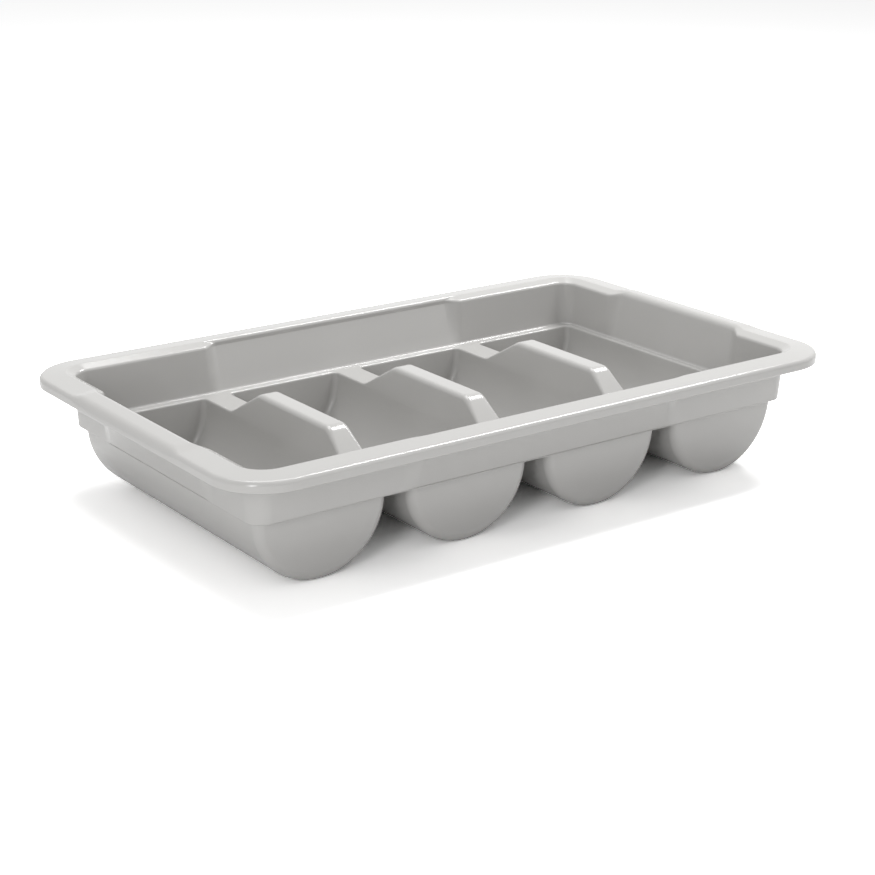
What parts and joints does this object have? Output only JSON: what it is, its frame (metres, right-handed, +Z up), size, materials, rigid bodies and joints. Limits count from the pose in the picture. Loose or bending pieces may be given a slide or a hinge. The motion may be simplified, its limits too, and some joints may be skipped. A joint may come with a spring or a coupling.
{
  "type": "cutlery tray",
  "caption": "Shallow one-piece plastic cutlery tray with half-round compartments side by side, raised dividers, a step ledge and a turned-down rim.",
  "frame": {"origin": "middle of the tray's footprint, on the table under the compartments", "axes": "+X along the tray's length, across the compartments; +Y towards its back, along the compartments; +Z up"},
  "size_m": [0.53, 0.325, 0.0962],
  "materials": {
    "polypropylene": "moulded semi-gloss, light grey"
  },
  "bodies": {
    "root": {"rim": "polypropylene", "upper_wall": "polypropylene", "compartment_1": "polypropylene", "compartment_2": "polypropylene", "compartment_3": "polypropylene", "compartment_4": "polypropylene", "divider_1": "polypropylene", "divider_2": "polypropylene", "divider_3": "polypropylene"}
  },
  "joints": []
}
